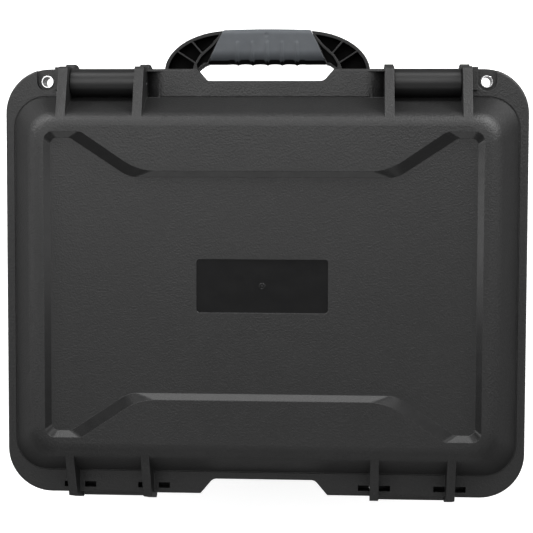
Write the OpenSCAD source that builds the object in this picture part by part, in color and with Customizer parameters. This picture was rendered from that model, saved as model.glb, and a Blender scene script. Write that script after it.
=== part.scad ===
// Hard carrying case with a moulded lid and base, two latches, a folding handle and foam.
// Frame: millimetres, +Z up, case lying flat, handle and latches at -Y, hinges at +Y.
// The origin is on the resting surface, under the middle of the whole case and its handle.

/* [Case] */
// Width of the flange, left to right
flange_w = 456; // [430:1:480]
// Depth of the flange, handle side to hinge side
flange_d = 374; // [360:1:390]
// Corner radius of the flange
corner_r = 39; // [30:1:45]
// Thickness of each flange
flange_t = 12; // [11:0.5:14]
// Height of the parting plane above the floor
part_z = 142; // [136:1:160]
// Gap between the closed lid and the base
part_gap = 0.2; // [0.15:0.05:0.3]
// Moulded wall thickness
wall = 4; // [3.5:0.5:5]

/* [Lid] */
// Height of the dome above the flange
dome_h = 36; // [32:1:42]
// Width of the side ledge between flange edge and dome
side_ledge = 8.5; // [7:0.5:10]
// Width of the front ledge between flange edge and dome
front_ledge = 25; // [25:0.5:27]
// Width of the rear ledge between flange edge and dome
rear_ledge = 20.6; // [19:0.2:22]
// Corner radius at the foot of the dome
dome_r = 27; // [24:1:34]
// Depth of the sunk lid panel
panel_deep = 4.5; // [3:0.5:5]
// Width of the blank name recess
name_w = 113; // [90:1:130]
// Height of the blank name recess
name_h = 46; // [36:1:56]

/* [Latches] */
// Distance of each latch centre from the middle
latch_x = 140.5; // [138:0.5:143]
// Clear width between the two ribs of a latch
latch_gap = 58; // [56:1:60]
// Thickness of the guard ribs
rib_t = 8; // [7:0.5:9]
// Radius of the latch barrel
barrel_r = 12; // [11:0.5:12]
// Radius of the latch pins
latch_pin_r = 2.5; // [2:0.25:3]

/* [Hinges] */
// Centre of the left hinge
hinge_left_x = -130.2; // [-134:0.2:-126]
// Centre of the right hinge
hinge_right_x = 134.5; // [126:0.5:138]
// Spacing of the two lid ribs of a hinge
hinge_span = 66; // [60:1:72]
// Height of the hinge axis below the parting plane
hinge_drop = 6; // [5.5:0.5:7]
// Radius of the hinge pins
hinge_pin_r = 2.5; // [2:0.25:3]

/* [Handle] */
// Height of the handle axis above the floor
handle_z = 115; // [113:0.5:116]
// Half width of the handle at its feet
handle_half = 91.3; // [88:0.1:92]
// Reach of the handle from its axis to its outer edge
handle_reach = 48; // [44:1:52]
// Radius of the handle pins
handle_pin_r = 3; // [2.5:0.25:3.5]
// Length of the rubber grip along its lower edge
grip_w = 106; // [96:1:108]

/* [Foam] */
// Height of the top of the lower foam
foam_top = 138; // [134:1:139]
// Depth of the drone pocket
drone_deep = 78; // [60:1:90]
// Depth of the other pockets
pocket_deep = 60; // [40:1:80]

/* [Hidden] */
$fn = 64;
eps = 0.01;

body_grey = [0.23, 0.235, 0.24];
latch_black = [0.1, 0.1, 0.105];
grip_grey = [0.36, 0.39, 0.42];
foam_black = [0.13, 0.13, 0.14];
steel = [0.72, 0.73, 0.74];
rubber = [0.08, 0.08, 0.08];

lid_z = part_z + part_gap;
flange_z = part_z + flange_t;
top_z = flange_z + dome_h;
base_flange_z = part_z - flange_t;
half_w = flange_w / 2;

// Depth positions: the middle, front edge and rear edge of the flange
ear_r = 7;
handle_in = 12;
mid_y = (handle_reach - handle_in - ear_r) / 2;
front_y = mid_y - flange_d / 2;
rear_y = mid_y + flange_d / 2;

// Plan of the dome and of the base body: half width, front and rear
body_x = half_w - side_ledge;
body_front = front_y + front_ledge;
body_rear = rear_y - rear_ledge;

// How far the dome draws in from its foot to its flat top
dome_in_x = 30.5;
dome_in_front = 25;
dome_in_rear = 29.4;
dome_in_r = 8;
// The dome's side as fractions of that inset and of its height: it runs straight to the
// shoulder, then curves through the bend to the flat top
shoulder = [0.5, 0.72];
bend = [0.69, 0.98];
// Power of the curve that rounds the bottom edge of the base
round_power = 0.9;
name_deep = 1.2;
hollow_w = 16;
hollow_deep = 8;
foot_groove_w = 1.1;
foot_groove_deep = 0.7;
gate_r = 2.6;
gate_h = 0.4;

// A quarter of the sunk panel at its rim and at its floor: the ear's corner, the ear's
// shoulder and the waist, each as [x, y, radius] from the middle of the flange
panel_rim = [[187.4, 131.8, 8], [155.5, 131.8, 10], [105.7, 98.2, 50]];
panel_foot = [[182.3, 126.4, 6], [165.3, 126.4, 8], [114.4, 93, 24]];

// Base body: draft down the walls, then a rounded bottom edge
base_z = 3;
base_draft = 5;
base_round = 25;
base_round_in = 20;
floor_z = 8;

// Seal
seal_in = 0.5;
seal_out = 3.5;
seal_groove_deep = 3;
seal_h = 1.7;
tongue_h = 1.2;
tongue_play = 0.8;

// Latch geometry, in the plane across the case
latch_play = 0.5;
latch_y = front_y + barrel_r;
latch_z = flange_z;
latch_w = latch_gap - 2 * latch_play;
lever_t = 6;
lever_bottom = 98;
catch_z = 112.2;
catch_h = 6.8;
catch_front = latch_y - 5;
catch_rear = latch_y + 5;
claw_top = catch_z - 0.6;
claw_t = 5.2;
claw_tip = latch_y + 3;
lip_w = 26;
inner_x = latch_x - latch_gap / 2 - rib_t / 2;
outer_x = latch_x + latch_gap / 2 + rib_t / 2;
rib_front = front_y - 1.3;
rib_ridge = 17.5;
base_rib_front = front_y - 5;
pin_play = 0.06;
press_play = 0.02;

// Hinge geometry
hinge_y = rear_y + 1;
hinge_z = part_z - hinge_drop;
ear_t = 7.6;
knuckle_r = 5.5;
hinge_half = hinge_span / 2;
knuckle_half = hinge_half - ear_t / 2 - 0.3;
ear_slot_play = 0.4;
window_w = 10;
window_shift = 4;
rear_rib_top = 170;

// Handle geometry
handle_y = front_y + handle_in;
handle_t = 20;
boss_r = 11.5;
boss_in = 65.5;
boss_out = 88.5;
cheek_t = 6.5;
cheek_r = 9;
outer_ax = 58.3;
outer_ay = handle_reach - 11.5;
outer_cx = handle_half - outer_ax;
outer_cy = handle_y - 11;
open_half = 57;
open_y = front_y - 6;
fan_cy = front_y + 13;

// Grip
grip_h = 25;
grip_front = handle_y - handle_reach - 1;
grip_rear = open_y;
grip_top_half = 38;
bar_front = grip_front + 5;
bar_rear = grip_rear - 6;
bar_h = 14;

// Finger notches in both flanges
notch_front = [60, 51, 10.4];
notch_rear = [56.3, 45, 13.5];

// Padlock holes
lock_x = 191.7;
lock_y = front_y + 11;
lock_recess_r = 8.25;
lock_floor = flange_z - 5;
eye_r = 4.5;
eye_out = 5.1;
eye_lip = 5.4;
eye_lip_h = 0.8;

// Valve
valve_z = 48;
valve_face = body_front + 1.5;

// Foam: the pad's top, the drone pocket, and the column of pockets left of it
pad_top = 33.6;
drone_x = 75;
drone_y = mid_y + 8;
drone_body = [40, 88, 12];
arm_deep = 50;
arm_w = 24;
well_at = [95, 85];
well_r = 24;
side_x = -123;
battery_pitch = 46;

// Feet
foot_x = 165;
foot_front = mid_y - 115;
foot_rear = mid_y + 115;
foot_r = 12;
foot_in = 2;

// ---------- helpers ----------

function unit(v) = v / norm(v);

// A ring of points round a rounded rectangle at one height
function ring(hx, y0, y1, r, z, seg) = [
    for (c = [0:3])
        for (i = [0:seg])
            let (
                a = 90 * (c + i / seg),
                sx = (c == 0 || c == 3) ? 1 : -1,
                cy = (c < 2) ? y1 - r : y0 + r
            )
            [sx * (hx - r) + r * cos(a), cy + r * sin(a), z]
];

// The arc that rounds corner p between its neighbours a and b
function fillet(p, a, b, r, n) =
    let (
        u = unit(a - p),
        v = unit(b - p),
        half = acos(u * v) / 2,
        c = p + unit(u + v) * (r / sin(half)),
        s = p + u * (r / tan(half)) - c,
        e = p + v * (r / tan(half)) - c,
        a0 = atan2(s[1], s[0]),
        sweep = (atan2(e[1], e[0]) - a0 + 540) % 360 - 180
    )
    [for (i = [0:n]) c + r * [cos(a0 + sweep * i / n), sin(a0 + sweep * i / n)]];

// A closed outline with every corner [x, y, radius] rounded
function rounded(corners, n) =
    let (m = len(corners), p = [for (c = corners) [c[0], c[1]]])
    [for (k = [0:m - 1]) each fillet(p[k], p[(k + m - 1) % m], p[(k + 1) % m], corners[k][2], n)];

function flip(c, sx, sy) = [sx * c[0], sy * c[1], c[2]];

// A full outline from the corners of one quarter, listed towards the Y axis
function four_way(q) =
    let (last = len(q) - 1)
    concat(
        q,
        [for (k = [last:-1:0]) flip(q[k], -1, 1)],
        [for (k = [0:last]) flip(q[k], -1, -1)],
        [for (k = [last:-1:0]) flip(q[k], 1, -1)]
    );

function at_z(points, z) = [for (p = points) [p[0], p[1], z]];

// The middle of the box round a ring of points
function middle(r) =
    [for (k = [0:2]) let (v = [for (p = r) p[k]]) (min(v) + max(v)) / 2];

// A closed solid through rings of equal length, lowest ring first
module loft(rings) {
    n = len(rings[0]);
    m = len(rings);
    last = (m - 1) * n;
    sides = [
        for (k = [0:m - 2])
            for (i = [0:n - 1])
                let (j = (i + 1) % n)
                each [
                    [k * n + i, (k + 1) * n + i, (k + 1) * n + j],
                    [k * n + i, (k + 1) * n + j, k * n + j]
                ]
    ];
    bottom = [for (i = [0:n - 1]) [m * n, i, (i + 1) % n]];
    top = [for (i = [0:n - 1]) [m * n + 1, last + (i + 1) % n, last + i]];
    ends = [middle(rings[0]), middle(rings[m - 1])];
    polyhedron(points = concat([for (r = rings) each r], ends),
        faces = concat(sides, bottom, top));
}

module rounded_plate(hx, y0, y1, r, z, h) {
    translate([0, 0, z])
        linear_extrude(h)
            union() {
                translate([-hx + r, y0])
                    square([2 * (hx - r), y1 - y0]);
                translate([-hx, y0 + r])
                    square([2 * hx, y1 - y0 - 2 * r]);
                for (sx = [-1, 1], cy = [y0 + r, y1 - r])
                    translate([sx * (hx - r), cy])
                        circle(r);
            }
}

// Extrudes a (y, z) profile along X, centred at x
module across(x, w) {
    translate([x - w / 2, 0, 0])
        rotate([90, 0, 90])
            linear_extrude(w)
                children();
}

module rod(x0, x1, y, z, r) {
    translate([x0, y, z])
        rotate([0, 90, 0])
            cylinder(h = x1 - x0, r = r);
}

module both_sides() {
    for (s = [0, 1])
        mirror([s, 0, 0])
            children();
}

// ---------- shared volumes ----------

// The rounded upper part of the dome's side, from the shoulder (k = 0) to the top (k = 1)
function dome_curve(k) =
    pow(1 - k, 2) * shoulder + 2 * k * (1 - k) * bend + k * k * [1, 1];

// The dome, drawn in by t, from z_low to z_high
module dome_solid(t, z_low, z_high, seg, step) {
    rise = z_high - flange_z;
    levels = concat([[0, 0], shoulder / 2],
        [for (k = [0:step:1]) dome_curve(k)]);
    foot = ring(body_x - t, body_front + t, body_rear - t, dome_r - t, z_low, seg);
    loft(concat([foot], [
        for (l = levels)
            ring(body_x - t - dome_in_x * l[0], body_front + t + dome_in_front * l[0],
                body_rear - t - dome_in_rear * l[0], dome_r - t - dome_in_r * l[0],
                flange_z + rise * l[1], seg)
    ]));
}

// The tub of the base, drawn in by t, from z_low to z_high
module tub_solid(t, z_low, z_high, seg, step) {
    edge_z = base_z + base_round;
    drop = edge_z - z_low;
    levels = [for (a = [90:-step:0]) [1 - pow(cos(a), round_power), pow(sin(a), round_power)]];
    inset = base_draft * (part_z - z_high) / (part_z - edge_z);
    brim = ring(body_x - t - inset, body_front + t + inset, body_rear - t - inset,
        dome_r - t, z_high, seg);
    loft(concat([
        for (l = levels)
            let (d = t + base_draft + base_round_in * l[0])
            ring(body_x - d, body_front + d, body_rear - d, dome_r - t - dome_in_r * l[0],
                edge_z - drop * l[1], seg)
    ], [brim]));
}

// A straight slice of the tub, drawn in by t
module tub_slice(t, z_low, z_high) {
    edge_z = base_z + base_round;
    low = t + base_draft * (part_z - z_low) / (part_z - edge_z);
    high = t + base_draft * (part_z - z_high) / (part_z - edge_z);
    loft([
        ring(body_x - low, body_front + low, body_rear - low, dome_r - t, z_low, 8),
        ring(body_x - high, body_front + high, body_rear - high, dome_r - t, z_high, 8)
    ]);
}

// A finger notch cut through both flanges; side is -1 at the front, 1 at the rear
module notch(size, side) {
    run = 20;
    slope = (size[0] - size[1]) / size[2];
    outer = size[0] + slope * run;
    corners = [
        [-outer, -run, 2], [outer, -run, 2], [size[1], size[2], 7], [-size[1], size[2], 7]
    ];
    translate([0, side < 0 ? front_y : rear_y, base_flange_z - 10])
        mirror([0, side > 0 ? 1 : 0, 0])
            linear_extrude(60)
                polygon(rounded(corners, 6));
}

module latch_slot() {
    both_sides()
        translate([latch_x - latch_gap / 2, front_y - 10, base_flange_z - eps])
            cube([latch_gap, 10 + front_ledge - 0.2, 2 * flange_t + 10]);
}

module seal_ring(z, h, play) {
    difference() {
        rounded_plate(body_x + seal_out - play, body_front - seal_out + play,
            body_rear + seal_out - play, dome_r + seal_out - play, z, h);
        rounded_plate(body_x - seal_in + play, body_front + seal_in - play,
            body_rear - seal_in + play, dome_r - seal_in + play, z - 1, h + 2);
    }
}

// ---------- lid ----------

module front_rib(x) {
    across(x, rib_t)
        polygon(rounded([
            [body_front + 30, top_z - 12, 1], [body_front + 25.6, top_z - 0.1, 1],
            [rib_front, flange_z + rib_ridge, 6], [rib_front, lid_z, 1],
            [body_front + 10, lid_z, 1], [body_front + 10, flange_z + 10, 1]
        ], 5));
}

module rear_rib(x) {
    across(x, ear_t)
        union() {
            polygon(rounded([
                [body_rear - 34, top_z - 12, 1], [body_rear - 10, flange_z + 10, 1],
                [body_rear - 10, lid_z, 1], [hinge_y - ear_r, lid_z, 1],
                [hinge_y - ear_r, hinge_z, 0.5], [hinge_y + ear_r, hinge_z, 0.5],
                [rear_y + 4.6, flange_z - 4, 5], [rear_y + 0.8, rear_rib_top - 4, 4],
                [body_rear - 29.6, top_z - 0.1, 1]
            ], 5));
            translate([hinge_y, hinge_z])
                circle(ear_r);
        }
}

module lid_panel() {
    outer = rounded(four_way(panel_rim), 6);
    inner = rounded(four_way(panel_foot), 6);
    translate([0, mid_y, 0])
        loft([at_z(inner, top_z - panel_deep), at_z(outer, top_z), at_z(outer, top_z + 1)]);
}

// Hollow beside each inner front rib, curving down from the flange to the rib's foot
module rib_hollow() {
    edge = latch_x - latch_gap / 2 - rib_t;
    both_sides()
        translate([0, body_front - 0.5, 0])
            rotate([90, 0, 0])
                linear_extrude(22)
                    polygon(concat(
                        [for (k = [0:1 / 8:1])
                            [edge - hollow_w * (1 - k), flange_z - hollow_deep * k * k]],
                        [[edge, flange_z + 1], [edge - hollow_w, flange_z + 1]]
                    ));
}

// Fine groove in the flange round the foot of the dome
module foot_groove() {
    rounded_plate(body_x + foot_groove_w, body_front - foot_groove_w, body_rear + foot_groove_w,
        dome_r + foot_groove_w, flange_z - foot_groove_deep, foot_groove_deep + 1);
}

// Moulding gate mark in the middle of the name recess: a low ring round a small nub
module gate_mark() {
    translate([0, mid_y, top_z - panel_deep - name_deep - 1])
        difference() {
            cylinder(h = 1 + gate_h, r = gate_r);
            difference() {
                translate([0, 0, 1])
                    cylinder(h = 2, r = gate_r - 0.6);
                cylinder(h = 2, r = 0.8);
            }
        }
}

// Windows through the rear flange on both sides of each ear of a hinge
module rear_windows(cx) {
    shift = cx > 0 ? window_shift : 0;
    near = ear_t / 2 + 0.2;
    for (s = [-1, 1])
        translate([cx + s * hinge_half, rear_y - 9.5, lid_z - 1]) {
            translate([near, 0, 0])
                cube([window_w - shift, 5, flange_t + 2]);
            translate([-near - window_w - shift, 0, 0])
                cube([window_w, 5, flange_t + 2]);
        }
}

module lock_recess() {
    both_sides() {
        translate([lock_x, lock_y, lock_floor])
            cylinder(h = 20, r = lock_recess_r);
        translate([lock_x - lock_recess_r, front_y - 5, lock_floor])
            cube([2 * lock_recess_r, lock_y - front_y + 5, 20]);
    }
}

module lock_bore(z, h) {
    both_sides()
        translate([lock_x, lock_y, z])
            cylinder(h = h, r = eye_out + press_play);
}

module lid_shell() {
    edge = 1.5;
    color(body_grey)
    union() {
        gate_mark();
        lid_moulding(edge);
    }
}

module lid_moulding(edge) {
    difference() {
        union() {
            difference() {
                union() {
                    difference() {
                        loft([
                            ring(half_w, front_y, rear_y, corner_r, lid_z, 16),
                            ring(half_w, front_y, rear_y, corner_r, flange_z - edge, 16),
                            ring(half_w - edge, front_y + edge, rear_y - edge,
                                corner_r - edge, flange_z, 16)
                        ]);
                        foot_groove();
                    }
                    dome_solid(0, flange_z - 2, top_z, 16, 1 / 8);
                }
                notch(notch_front, -1);
                notch(notch_rear, 1);
                latch_slot();
                rib_hollow();
            }
            both_sides() {
                front_rib(inner_x);
                front_rib(outer_x);
                translate([outer_x + rib_t / 2 - 1, rib_front, lid_z])
                    cube([lock_x - lock_recess_r - outer_x - rib_t / 2 + 1, 20, flange_t + 4]);
            }
            for (cx = [hinge_left_x, hinge_right_x], s = [-1, 1])
                rear_rib(cx + s * hinge_half);
            seal_ring(part_z - tongue_h + part_gap, tongue_h + 1, tongue_play);
        }
        dome_solid(wall, part_z - 5, top_z - panel_deep - wall, 8, 1 / 5);
        lid_panel();
        rounded_plate(name_w / 2, mid_y - name_h / 2, mid_y + name_h / 2, 3,
            top_z - panel_deep - name_deep, 5);
        lock_recess();
        lock_bore(lid_z - 1, 20);
        both_sides() {
            for (x = [inner_x, outer_x])
                rod(x - rib_t / 2 - eps, x + rib_t / 2 + eps, latch_y, latch_z,
                    latch_pin_r + press_play);
        }
        for (cx = [hinge_left_x, hinge_right_x]) {
            rod(cx - hinge_half - ear_t, cx + hinge_half + ear_t, hinge_y, hinge_z,
                hinge_pin_r + pin_play);
            rear_windows(cx);
        }
    }
}

module lid_foam() {
    color(foam_black)
    intersection() {
        dome_solid(wall + 0.6, part_z, top_z - panel_deep - wall - 0.5, 8, 1 / 4);
        translate([-half_w, front_y, part_z + 8])
            cube([flange_w, flange_d, 60]);
    }
}

// ---------- base ----------

module base_rib(x) {
    across(x, rib_t)
        polygon(rounded([
            [body_front + 3, part_z, 0.5], [front_y, part_z, 1], [base_rib_front, part_z - 5, 2],
            [base_rib_front, part_z - 17, 6], [body_front - 16, 66, 10], [body_front + 6, 40, 4]
        ], 5));
}

module handle_cheek(x) {
    across(x, cheek_t)
        union() {
            polygon([
                [body_front + 5, base_flange_z + 1], [handle_y - cheek_r, base_flange_z + 1],
                [handle_y - cheek_r, handle_z], [handle_y, handle_z - cheek_r],
                [body_front + 5, handle_z - cheek_r]
            ]);
            translate([handle_y, handle_z])
                circle(cheek_r);
        }
}

module hinge_knuckle(cx) {
    rod(cx - knuckle_half, cx + knuckle_half, hinge_y, hinge_z, knuckle_r);
    for (x = [-18, 0, 18])
        across(cx + x, 5)
            polygon([
                [body_rear - 5, base_flange_z + 1], [rear_y, base_flange_z + 1],
                [rear_y, base_flange_z - 2], [body_rear - 5, base_flange_z - 40]
            ]);
}

module ear_slots(cx) {
    for (s = [-1, 1])
        translate([cx + s * hinge_half - ear_t / 2 - 0.3, hinge_y - ear_r - ear_slot_play,
            base_flange_z - 5])
            cube([ear_t + 0.6, 30, 30]);
}

module valve_pad() {
    translate([0, valve_face, valve_z])
        rotate([-90, 0, 0])
            cylinder(h = 5, r = 14);
}

module base_shell() {
    edge = 1.5;
    cheek_in = boss_in - cheek_t / 2 - 0.5;
    cheek_out = boss_out + cheek_t / 2 + 0.5;
    color(body_grey)
    difference() {
        union() {
            difference() {
                loft([
                    ring(half_w - edge, front_y + edge, rear_y - edge, corner_r - edge,
                        base_flange_z, 16),
                    ring(half_w, front_y, rear_y, corner_r, base_flange_z + edge, 16),
                    ring(half_w, front_y, rear_y, corner_r, part_z, 16)
                ]);
                notch(notch_front, -1);
                notch(notch_rear, 1);
                latch_slot();
            }
            tub_solid(0, base_z, part_z - 2, 12, 15);
            both_sides() {
                base_rib(inner_x);
                base_rib(outer_x);
                handle_cheek(cheek_in);
                handle_cheek(cheek_out);
                translate([latch_x - latch_gap / 2 - 1, catch_front, catch_z])
                    cube([latch_gap + 2, catch_rear - catch_front, catch_h]);
            }
            for (cx = [hinge_left_x, hinge_right_x])
                hinge_knuckle(cx);
            valve_pad();
        }
        tub_solid(wall, floor_z, part_z + 1, 8, 18);
        seal_ring(part_z - seal_groove_deep, seal_groove_deep + 1, 0);
        lock_bore(base_flange_z - 1, flange_t + 2);
        both_sides()
            rod(cheek_in - cheek_t, cheek_out + cheek_t, handle_y, handle_z,
                handle_pin_r + press_play);
        for (cx = [hinge_left_x, hinge_right_x]) {
            rod(cx - knuckle_half - 1, cx + knuckle_half + 1, hinge_y, hinge_z,
                hinge_pin_r + press_play);
            ear_slots(cx);
        }
        for (x = [-foot_x, foot_x], y = [foot_front, foot_rear])
            translate([x, y, base_z - 1])
                cylinder(h = foot_in + 1, r = foot_r + 0.05);
        rounded_plate(135, mid_y - 95, mid_y + 95, 15, base_z - 1, 2.2);
        translate([0, valve_face - 1, valve_z])
            rotate([-90, 0, 0])
                cylinder(h = 20, r = 7.05);
    }
}

module gasket() {
    color(rubber)
        seal_ring(part_z - seal_groove_deep, seal_h, 0.1);
}

// Drone pocket: a body with four arms that end in round motor wells
module drone_pocket() {
    rounded_plate(drone_body[0], -drone_body[1], drone_body[1], drone_body[2],
        foam_top - drone_deep, drone_deep + 1);
    for (sx = [-1, 1], sy = [-1, 1])
        translate([0, 0, foam_top - arm_deep])
            linear_extrude(arm_deep + 1)
                union() {
                    translate([sx * well_at[0], sy * well_at[1]])
                        circle(well_r);
                    rotate(atan2(sy * well_at[1], sx * well_at[0]))
                        translate([0, -arm_w / 2])
                            square([norm(well_at), arm_w]);
                }
}

// A pocket centred at (x, y from the middle of the flange), w wide and d deep in plan
module small_pocket(x, y, w, d, r) {
    translate([x, 0, 0])
        rounded_plate(w / 2, mid_y + y - d / 2, mid_y + y + d / 2, r,
            foam_top - pocket_deep, pocket_deep + 1);
}

module base_foam() {
    color(foam_black)
    difference() {
        tub_slice(wall + 0.6, pad_top + 0.4, foam_top);
        translate([drone_x, drone_y, 0])
            drone_pocket();
        for (k = [-1:1])
            small_pocket(side_x + k * battery_pitch, 42, 37, 92, 8);
        small_pocket(side_x, -72, 128, 104, 14);
        small_pocket(side_x, 121, 129, 42, 12);
        small_pocket(drone_x, -128, 190, 32, 12);
        on_valve(0)
            cylinder(h = 14, r = 13);
    }
}

module foam_pad() {
    color(foam_black)
    intersection() {
        tub_solid(wall + 0.8, floor_z + 0.3, part_z, 8, 18);
        translate([-half_w, front_y, 0])
            cube([flange_w, flange_d, pad_top]);
    }
}

// ---------- latches ----------

module latch(x) {
    face = latch_y - barrel_r;
    inner = face + lever_t;
    color(latch_black)
    difference() {
        union() {
            across(x, latch_w)
                union() {
                    translate([latch_y, latch_z])
                        circle(barrel_r);
                    polygon([
                        [face, latch_z], [face, 112], [face + 0.8, 104], [face + 2.4, lever_bottom],
                        [inner - 0.5, lever_bottom], [inner, claw_top - claw_t],
                        [claw_tip, claw_top - claw_t], [claw_tip, claw_top],
                        [inner, claw_top], [inner, latch_z]
                    ]);
                }
            across(x, lip_w)
                polygon([
                    [face + 1, 122], [face - 1, 108], [face - 2.8, lever_bottom - 4],
                    [face, lever_bottom - 4], [face + 3, lever_bottom + 1]
                ]);
        }
        rod(x - latch_w, x + latch_w, latch_y, latch_z, latch_pin_r + pin_play);
    }
}

module latch_left() {
    latch(-latch_x);
}

module latch_right() {
    latch(latch_x);
}

module latch_pin(x) {
    reach = latch_gap / 2 + rib_t - 1;
    color(steel)
        rod(x - reach, x + reach, latch_y, latch_z, latch_pin_r);
}

module hinge_pin(cx) {
    reach = hinge_half + ear_t / 2 - 0.6;
    color(steel)
        rod(cx - reach, cx + reach, hinge_y, hinge_z, hinge_pin_r);
}

// ---------- handle ----------

function handle_outer() = concat(
    [for (a = [0:6:90]) [outer_cx + outer_ax * cos(a), outer_cy - outer_ay * sin(a)]],
    [for (a = [90:6:180]) [-outer_cx + outer_ax * cos(a), outer_cy - outer_ay * sin(a)]]
);

module handle_plan() {
    difference() {
        polygon(concat(
            [[boss_out, handle_y], [boss_out, outer_cy + 1]],
            handle_outer(),
            [[-boss_out, outer_cy + 1], [-boss_out, handle_y]]
        ));
        polygon(rounded([
            [boss_in, handle_y + 9, 1], [-boss_in, handle_y + 9, 1],
            [-boss_in, handle_y - 10, 2], [-open_half + 2, open_y, 7],
            [open_half - 2, open_y, 7], [boss_in, handle_y - 10, 2]
        ], 6));
    }
}

// The hollow in the upper face of an arm, bounded by the outer and inner rims
module arm_hollow() {
    rim = 3;
    polygon(concat(
        [for (a = [2:6:80])
            [outer_cx + (outer_ax - rim) * cos(a), outer_cy - (outer_ay - rim) * sin(a)]],
        [[44, grip_front + 7], [50, grip_front + 14], [60, grip_front + 23],
            [65, grip_front + 31], [67, outer_cy]]
    ));
}

module fan_ribs() {
    for (a = [14, 33, 49])
        translate([outer_cx, fan_cy])
            rotate(-a)
                translate([20, -0.7])
                    square([45, 1.4]);
}

module handle_core() {
    low = handle_z - handle_t / 2;
    color(latch_black)
    difference() {
        union() {
            difference() {
                translate([0, 0, low])
                    linear_extrude(handle_t)
                        handle_plan();
                both_sides()
                    translate([0, 0, low + 4])
                        linear_extrude(handle_t)
                            difference() {
                                arm_hollow();
                                fan_ribs();
                            }
                translate([-grip_w / 2 - 1, grip_front - 5, low - 5])
                    cube([grip_w + 2, handle_reach - 12, (handle_t - bar_h) / 2 + 5]);
                grip_cut(handle_z + bar_h / 2, 20);
                grip_cut(low - 5, (handle_t - bar_h) / 2 + 5);
                grip_edge_cut();
            }
            both_sides()
                rod(boss_in, boss_out, handle_y, handle_z, boss_r);
        }
        both_sides()
            rod(boss_in - 1, boss_out + 1, handle_y, handle_z, handle_pin_r + pin_play);
    }
}

// Plan of the grip, wider at its finger side
module grip_plan(extra) {
    polygon([
        [grip_top_half + extra, grip_front - 1], [grip_w / 2 + extra, grip_rear + 1],
        [-grip_w / 2 - extra, grip_rear + 1], [-grip_top_half - extra, grip_front - 1]
    ]);
}

module grip_cut(z, h) {
    translate([0, 0, z])
        linear_extrude(h)
            grip_plan(0.2);
}

// Leaves only the inner bar of the core inside the grip
module grip_edge_cut() {
    difference() {
        grip_cut(handle_z - handle_t, 2 * handle_t);
        translate([-100, bar_front, handle_z - handle_t])
            cube([200, bar_rear - bar_front, 2 * handle_t]);
    }
}

module handle_grip() {
    depth = grip_rear - grip_front;
    r = 8;
    color(grip_grey)
    difference() {
        intersection() {
            translate([0, (grip_front + grip_rear) / 2, handle_z])
                rotate([90, 0, 90])
                    translate([0, 0, -grip_w])
                        linear_extrude(2 * grip_w)
                            union() {
                                square([depth - 2 * r, grip_h], center = true);
                                square([depth, grip_h - 2 * r], center = true);
                                for (sy = [-1, 1], sz = [-1, 1])
                                    translate([sy * (depth / 2 - r), sz * (grip_h / 2 - r)])
                                        circle(r);
                            }
            translate([0, 0, handle_z - grip_h])
                linear_extrude(2 * grip_h)
                    grip_plan(0);
        }
        translate([-100, bar_front - 0.05, handle_z - bar_h / 2 - 0.05])
            cube([200, bar_rear - bar_front + 0.1, bar_h + 0.1]);
    }
}

module handle_pin(side) {
    cheek_end = boss_out + cheek_t;
    color(steel)
        mirror([side < 0 ? 1 : 0, 0, 0])
            rod(boss_in - cheek_t + 0.5, cheek_end, handle_y, handle_z, handle_pin_r);
}

// ---------- small parts ----------

// A steel eyelet: a tube of height h with a rolled lip at its upper end
module eyelet(h) {
    rotate_extrude()
        union() {
            translate([eye_r, 0])
                square([eye_out - eye_r, h]);
            translate([eye_r, h])
                square([eye_lip - eye_r - eye_lip_h / 2, eye_lip_h]);
            translate([eye_lip - eye_lip_h / 2, h + eye_lip_h / 2])
                circle(eye_lip_h / 2, $fn = 24);
        }
}

module lid_eyelet(side) {
    color(steel)
        translate([side * lock_x, lock_y, lid_z])
            eyelet(lock_floor - lid_z);
}

module base_eyelet(side) {
    color(steel)
        translate([side * lock_x, lock_y, part_z])
            mirror([0, 0, 1])
                eyelet(flange_t);
}

module foot(x, y) {
    color(rubber)
        translate([x, y, 0])
            rotate_extrude()
                polygon([
                    [0, 0], [foot_r - 1.5, 0], [foot_r - 0.6, 0.5], [foot_r, 1.6],
                    [foot_r, base_z + foot_in], [0, base_z + foot_in]
                ]);
}

module on_valve(y) {
    translate([0, valve_face + y, valve_z])
        rotate([-90, 0, 0])
            children();
}

module valve_body() {
    color(latch_black)
        on_valve(-2.5)
            difference() {
                union() {
                    cylinder(h = 2, r = 10.5);
                    cylinder(h = 14.2, r = 7);
                }
                translate([0, 0, -1])
                    cylinder(h = 20, r = 3);
                translate([0, 0, 1.2])
                    cylinder(h = 1.6, r = 5.5);
            }
}

module valve_cap() {
    color(latch_black)
        on_valve(-5.6)
            difference() {
                cylinder(h = 3, r = 10.5);
                translate([0, 0, 1.6])
                    cylinder(h = 2, r = 8.5);
                for (a = [0:60:300])
                    rotate(a)
                        translate([5.2, 0, -1])
                            cylinder(h = 5, r = 0.9);
            }
}

module valve_seal() {
    color(rubber)
        on_valve(-0.45)
            difference() {
                cylinder(h = 0.4, r = 9.5);
                translate([0, 0, -1])
                    cylinder(h = 3, r = 7.1);
            }
}

module valve_membrane() {
    color("white")
        on_valve(-1.2)
            cylinder(h = 1, r = 5.4);
}

module valve_nut() {
    color(latch_black)
        on_valve(7.2)
            difference() {
                cylinder(h = 4, r = 10.5, $fn = 6);
                translate([0, 0, -1])
                    cylinder(h = 6, r = 7.02);
            }
}

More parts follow.
